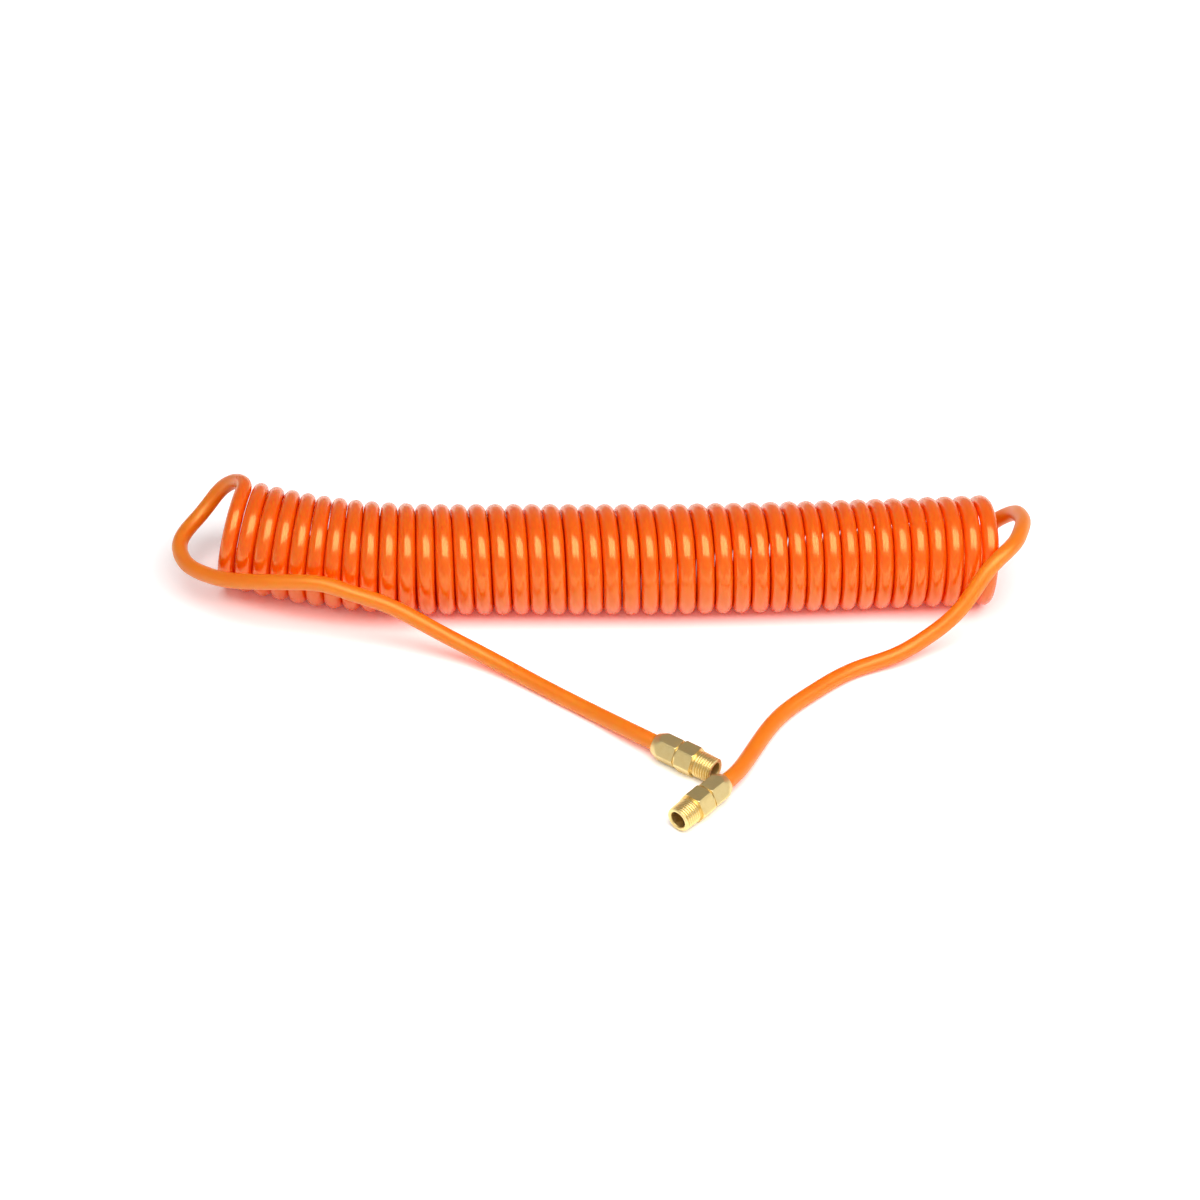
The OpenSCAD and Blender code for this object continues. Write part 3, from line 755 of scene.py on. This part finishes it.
class AIRHOSE_OT_nuts(bpy.types.Operator):
    """Make the two clamping nuts"""

    bl_idname = "air_hose.nuts"
    bl_label = "Clamping nuts"

    def execute(self, context):
        _, fit, finish, _ = sizes_of(context)
        brass = brass_material(finish, "brass_nut", finish.brass_nut, finish.nut_gloss)
        outline = eased(nut_outline(fit), fit.easing)
        shape = (outline, hexagon_columns(), fit.step, fit.nut_flats)
        make_pair("clamping_nut", "nut", FIXED_BODIES, brass, *shape)
        return {"FINISHED"}


class AIRHOSE_OT_stems(bpy.types.Operator):
    """Make the two barbed stems"""

    bl_idname = "air_hose.stems"
    bl_label = "Barbed stems"

    def execute(self, context):
        _, fit, finish, _ = sizes_of(context)
        brass = brass_material(finish, "brass_stem", finish.brass, finish.stem_gloss)
        outline = eased(stem_outline(fit), fit.easing / 2)
        shape = (outline, round_columns(), 2 * fit.step)
        make_pair("barbed_stem", "stem", FIXED_BODIES, brass, *shape)
        return {"FINISHED"}


class AIRHOSE_OT_noses(bpy.types.Operator):
    """Make the two swivel noses, with their hexagons and pipe threads"""

    bl_idname = "air_hose.noses"
    bl_label = "Swivel noses"

    def execute(self, context):
        _, fit, finish, _ = sizes_of(context)
        brass = brass_material(finish, "brass_nose", finish.brass, finish.nose_gloss)
        outline = eased(nose_outline(fit), fit.easing)
        thread = (fit.pipe_pitch, fit.pipe_depth, fit.pipe_taper)
        shape = (outline, hexagon_columns(), fit.pipe_pitch / STEPS_PER_THREAD, fit.nose_flats, thread)
        make_pair("swivel_nose", "nose", SWIVEL_BODIES, brass, *shape)
        return {"FINISHED"}


class AIRHOSE_OT_inner_pieces(bpy.types.Operator):
    """Finish the ferrules, seals and retaining rings inside the fittings"""

    bl_idname = "air_hose.inner_pieces"
    bl_label = "Inner pieces"

    def execute(self, context):
        finish = sizes_of(context)[2]
        finishes = {
            "ferrule": metal("brass_ferrule", finish.brass, finish.brass_dull, finish.ferrule_gloss),
            "ring": metal("steel_ring", finish.steel, finish.steel_dull, finish.steel_gloss),
            "seal": rubber_material(finish),
        }
        for kind, material in finishes.items():
            for side in SIDES:
                node = frame["nodes"][f"{kind}_{side}"]
                node.data.materials.clear()
                node.data.materials.append(material)
        return {"FINISHED"}


# ---- Materials -----------------------------------------------------------------------------


def fill(tree, node, inlets):
    """Give a node its inputs, by name or number: each is a socket to link or a plain value."""
    for key, value in inlets.items():
        if isinstance(value, bpy.types.NodeSocket):
            tree.links.new(value, node.inputs[key])
        else:
            node.inputs[key].default_value = value


def add_node(tree, kind, inlets=None, **settings):
    """Add a node, set its properties and give it its inputs."""
    node = tree.nodes.new(kind)
    for key, value in settings.items():
        setattr(node, key, value)
    fill(tree, node, inlets or {})
    return node


def worked(tree, operation, *values):
    """The result of an operation on sockets or numbers."""
    return add_node(tree, "ShaderNodeMath", dict(enumerate(values)), operation=operation).outputs[0]


def ranged(tree, value, before, after, **settings):
    """The value carried from one range to another, and held at its ends."""
    places = dict(enumerate((value, *before, *after)))
    return add_node(tree, "ShaderNodeMapRange", places, **settings).outputs[0]


def mixed(tree, share, first, second):
    """Colour between first and second, by share. Each is a socket or a colour."""
    colours = [c if isinstance(c, bpy.types.NodeSocket) else (*c, 1) for c in (first, second)]
    node = add_node(tree, "ShaderNodeMix", {0: share, 6: colours[0], 7: colours[1]}, data_type="RGBA")
    return node.outputs[2]


def noise(tree, place, scale, detail, **more):
    """Noise at a place. Its scale, in waves to a metre, is one number or one for each axis."""
    if isinstance(scale, tuple):
        place = add_node(tree, "ShaderNodeMapping", {"Vector": place, "Scale": scale}).outputs[0]
        scale = 1.0
    inlets = {"Vector": place, "Scale": scale, "Detail": detail, **more}
    return add_node(tree, "ShaderNodeTexNoise", inlets).outputs[0]


def bumped(tree, height, strength, distance):
    """The normal of a surface with this height."""
    inlets = {"Height": height, "Strength": strength, "Distance": distance}
    return add_node(tree, "ShaderNodeBump", inlets).outputs[0]


def attribute(tree, name, output):
    """The socket of a mesh attribute: Vector, or Fac for a number."""
    return add_node(tree, "ShaderNodeAttribute", attribute_name=name).outputs[output]


def object_place(tree):
    """The socket of a point's place in its object."""
    return add_node(tree, "ShaderNodeTexCoord").outputs["Object"]


def material_with_shader(name):
    """(material, tree, Principled node) of a new material."""
    material = bpy.data.materials.new(name)
    material.use_nodes = True
    tree = material.node_tree
    return material, tree, tree.nodes["Principled BSDF"]


def metal_group():
    """Cut metal: bright where it stands out, dull and dark in grooves, with marks of the tool.

    The tool's marks are a noise that changes quickly along the lathe's axis and slowly round it.
    Dullness is the larger of the groove share and the clouds of tarnish. Edges that stand out
    lose it.
    """
    known = bpy.data.node_groups.get("Cut metal")
    if known:
        return known
    group = bpy.data.node_groups.new("Cut metal", "ShaderNodeTree")
    sockets = (
        ("INPUT", "Vector", ("Vector",)),
        ("INPUT", "Color", ("Bright", "Dull")),
        ("INPUT", "Float", ("Stand out", "Smooth", "Rough")),
        ("OUTPUT", "Color", ("Color",)),
        ("OUTPUT", "Float", ("Roughness", "Height")),
    )
    for way, kind, labels in sockets:
        for label in labels:
            group.interface.new_socket(label, in_out=way, socket_type=f"NodeSocket{kind}")
    inlet = group.nodes.new("NodeGroupInput").outputs
    tool = noise(group, inlet["Vector"], (9000, 260, 260), 3.0)
    cloud = noise(group, inlet["Vector"], 260.0, 4.0, Roughness=0.55)
    tarnish = ranged(group, cloud, (0.40, 0.75), (0.0, 0.45))
    groove = ranged(group, inlet["Stand out"], (0.0, -0.22), (0.0, 1.0))
    kept = ranged(group, inlet["Stand out"], (0.02, 0.16), (1.0, 0.0))
    share = worked(group, "MULTIPLY", worked(group, "MAXIMUM", tarnish, groove), kept)
    rough = ranged(group, share, (0.0, 1.0), (inlet["Smooth"], inlet["Rough"]))
    fill(group, group.nodes.new("NodeGroupOutput"), {
        "Color": mixed(group, share, inlet["Bright"], inlet["Dull"]),
        "Roughness": worked(group, "MULTIPLY_ADD", tool, 0.12, rough),
        "Height": tool,
    })
    return group


def metal(name, bright, dull, smooth, turned=False):
    """A metal from the Cut metal group. A turned piece has attributes for its lathe and its edges."""
    material, tree, shader = material_with_shader(name)
    place = attribute(tree, "lathe", "Vector") if turned else object_place(tree)
    inlets = {"Vector": place, "Bright": (*bright, 1), "Dull": (*dull, 1)}
    inlets["Smooth"] = smooth
    inlets["Rough"] = smooth + GROOVE_ROUGHNESS
    if turned:
        inlets["Stand out"] = attribute(tree, "bulge", "Fac")
    cut = add_node(tree, "ShaderNodeGroup", inlets, node_tree=metal_group()).outputs
    fill(tree, shader, {
        "Base Color": cut["Color"],
        "Roughness": cut["Roughness"],
        "Normal": bumped(tree, cut["Height"], 0.25, 0.00003),
        "Metallic": 1.0,
    })
    return material


def brass_material(finish, name, bright, smooth):
    """Turned brass: bright on its edges and flats, dull in its grooves."""
    return metal(name, bright, finish.brass_dull, smooth, turned=True)


def rubber_material(finish):
    """Matt black rubber with a little dust."""
    material, tree, shader = material_with_shader("rubber_seal")
    grain = noise(tree, object_place(tree), 900.0, 4.0)
    dust = ranged(tree, grain, (0.45, 0.8), (0.0, 1.0))
    fill(tree, shader, {
        "Base Color": mixed(tree, dust, finish.rubber, finish.rubber_grey),
        "Roughness": ranged(tree, dust, (0.0, 1.0), (0.45, 0.8)),
        "Normal": bumped(tree, grain, 0.2, 0.00005),
    })
    return material


def hose_material(finish):
    """Glossy polyurethane: orange with deeper clouds, yellower in the tails, with drawn lines along it.

    The patterns lie on the hose as if it were straight, so they follow it round the coil.
    """
    material, tree, shader = material_with_shader("polyurethane_orange")
    straight = attribute(tree, "straight", "Vector")
    tail = attribute(tree, "tail", "Fac")
    cloud = noise(tree, straight, (60, 60, 14), 3.0)
    depth = ranged(tree, cloud, (0.45, 0.85), (0.0, 0.5))
    body = mixed(tree, tail, finish.hose, finish.hose_tail)
    smudge = noise(tree, straight, 55.0, 5.0, Roughness=0.6, Distortion=0.6)
    gloss = ranged(tree, smudge, (0.42, 0.72), (finish.hose_gloss, finish.hose_dull))
    lines = noise(tree, straight, (900, 900, 22), 2.0)
    wavy = noise(tree, straight, 170.0, 1.0)
    height = worked(tree, "MULTIPLY_ADD", lines, 0.12, wavy)
    fill(tree, shader, {
        "Base Color": mixed(tree, depth, body, finish.hose_deep),
        "Roughness": worked(tree, "MULTIPLY_ADD", tail, finish.tail_dull, gloss),
        "Normal": bumped(tree, height, 0.35, 0.0002),
        "IOR": finish.hose_ior,
        "Specular IOR Level": finish.hose_specular,
        "Specular Tint": (*finish.hose_glint, 1),
        "Subsurface Weight": 1.0,
        "Subsurface Radius": finish.hose_reach,
        "Subsurface Scale": finish.hose_depth,
    })
    return material


# ---- Stage ---------------------------------------------------------------------------------


def seen_directly(tree):
    """1 for rays from the camera and for mirrored and passing rays, 0 for rays that light things."""
    path = add_node(tree, "ShaderNodeLightPath").outputs
    seen = worked(tree, "MAXIMUM", path["Is Camera Ray"], path["Is Glossy Ray"])
    return worked(tree, "MAXIMUM", seen, path["Is Transmission Ray"])


def floor_material(stage):
    """White paper that keeps shadows. It is paler as seen, and paler still away from the softbox."""
    material = bpy.data.materials.new("floor_paper")
    material.use_nodes = True
    tree = material.node_tree
    tree.nodes.clear()
    away = add_node(tree, "ShaderNodeVectorMath", {0: object_place(tree)}, operation="LENGTH")
    seen = (stage.floor_near, stage.floor_far)
    pale = ranged(tree, away.outputs["Value"], (stage.near, stage.far), seen)
    level = ranged(tree, seen_directly(tree), (0.0, 1.0), (stage.floor, pale))
    paper = add_node(tree, "ShaderNodeBsdfDiffuse", {"Color": level})
    add_node(tree, "ShaderNodeOutputMaterial", {"Surface": paper.outputs[0]})
    return material


def make_world(stage):
    """A studio with pale walls, paler in front than behind, and a darker ceiling.

    The level depends on the way that a ray goes, as parts of a length of one: it changes from
    front to back between Y -0.6 and 0.6, and from walls to ceiling between Z 0.2 and 0.7.
    """
    world = bpy.data.worlds.new("studio")
    world.use_nodes = True
    tree = world.node_tree
    way = add_node(tree, "ShaderNodeTexCoord").outputs["Generated"]
    parts = add_node(tree, "ShaderNodeSeparateXYZ", {0: way}).outputs
    wall = ranged(tree, parts["Y"], (-0.6, 0.6), (stage.front, stage.back))
    level = ranged(tree, parts["Z"], (0.2, 0.7), (wall, stage.sky), interpolation_type="SMOOTHSTEP")
    fill(tree, tree.nodes["Background"], {"Color": (1, 1, 1, 1), "Strength": level})
    bpy.context.scene.world = world


def make_camera(stage):
    """A camera that looks along +Y and down at its target."""
    camera = bpy.data.cameras.new("camera")
    camera.lens = stage.lens
    camera.sensor_width = 36
    camera.clip_start, camera.clip_end = 0.05, 50
    made = add_object("camera", camera)
    back = Vector((0, -math.cos(stage.elevation), math.sin(stage.elevation)))
    made.location = Vector(stage.target) + back * stage.distance
    made.rotation_euler = (math.pi / 2 - stage.elevation, 0, 0)
    bpy.context.scene.camera = made


def make_softbox(stage):
    """A long softbox that faces the coil and lies along it."""
    lamp = bpy.data.lights.new("softbox", "AREA")
    lamp.shape = "RECTANGLE"
    lamp.size, lamp.size_y = stage.box_length, stage.box_width
    lamp.energy = stage.box_power
    made = add_object("softbox", lamp)
    made.location = Vector(stage.box_place)
    down = Vector(stage.target) - made.location
    down.x = 0
    made.rotation_euler = down.to_track_quat("-Z", "Y").to_euler()


class AIRHOSE_OT_stage(bpy.types.Operator):
    """Make the camera, the floor and the light"""

    bl_idname = "air_hose.stage"
    bl_label = "Stage"

    def execute(self, context):
        stage = sizes_of(context)[3]
        make_camera(stage)
        make_world(stage)
        make_softbox(stage)
        half = stage.floor_size / 2
        mesh = bpy.data.meshes.new("floor")
        corners = [(-half, -half, 0), (half, -half, 0), (half, half, 0), (-half, half, 0)]
        mesh.from_pydata(corners, [], [(0, 1, 2, 3)])
        mesh.materials.append(floor_material(stage))
        floor = add_object("floor", mesh)
        context.scene.view_settings.view_transform = "Standard"
        # Light goes on from turn to turn in the gaps of the coil.
        context.scene.cycles.max_bounces = stage.bounces
        context.scene.cycles.diffuse_bounces = stage.diffuse_bounces
        return {"FINISHED"}


class AIRHOSE_PT_panel(bpy.types.Panel):
    """Lists what the add-on makes"""

    bl_idname = "AIRHOSE_PT_panel"
    bl_label = "Coiled Air Hose"
    bl_space_type = "VIEW_3D"
    bl_region_type = "UI"
    bl_category = "Air Hose"

    def draw(self, context):
        for step in STEPS:
            self.layout.operator(step.bl_idname)


STEPS = (
    AIRHOSE_OT_stage,
    AIRHOSE_OT_hose,
    AIRHOSE_OT_nuts,
    AIRHOSE_OT_stems,
    AIRHOSE_OT_noses,
    AIRHOSE_OT_inner_pieces,
)
GROUPS = {
    "air_hose_tube": AirHoseTube,
    "air_hose_fitting": AirHoseFitting,
    "air_hose_finish": AirHoseFinish,
    "air_hose_stage": AirHoseStage,
}


def register():
    """Add the classes, and the property groups to the scene."""
    for cls in (*GROUPS.values(), *STEPS, AIRHOSE_PT_panel):
        bpy.utils.register_class(cls)
    for name, cls in GROUPS.items():
        setattr(bpy.types.Scene, name, PointerProperty(type=cls))


def unregister():
    """Take them away again."""
    for name in GROUPS:
        delattr(bpy.types.Scene, name)
    for cls in reversed((*GROUPS.values(), *STEPS, AIRHOSE_PT_panel)):
        bpy.utils.unregister_class(cls)


def main():
    """Register the classes and make everything in order."""
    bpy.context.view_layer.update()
    register()
    bpy.ops.air_hose.stage()
    bpy.ops.air_hose.hose()
    bpy.ops.air_hose.nuts()
    bpy.ops.air_hose.stems()
    bpy.ops.air_hose.noses()
    bpy.ops.air_hose.inner_pieces()


if __name__ == "__main__":
    main()
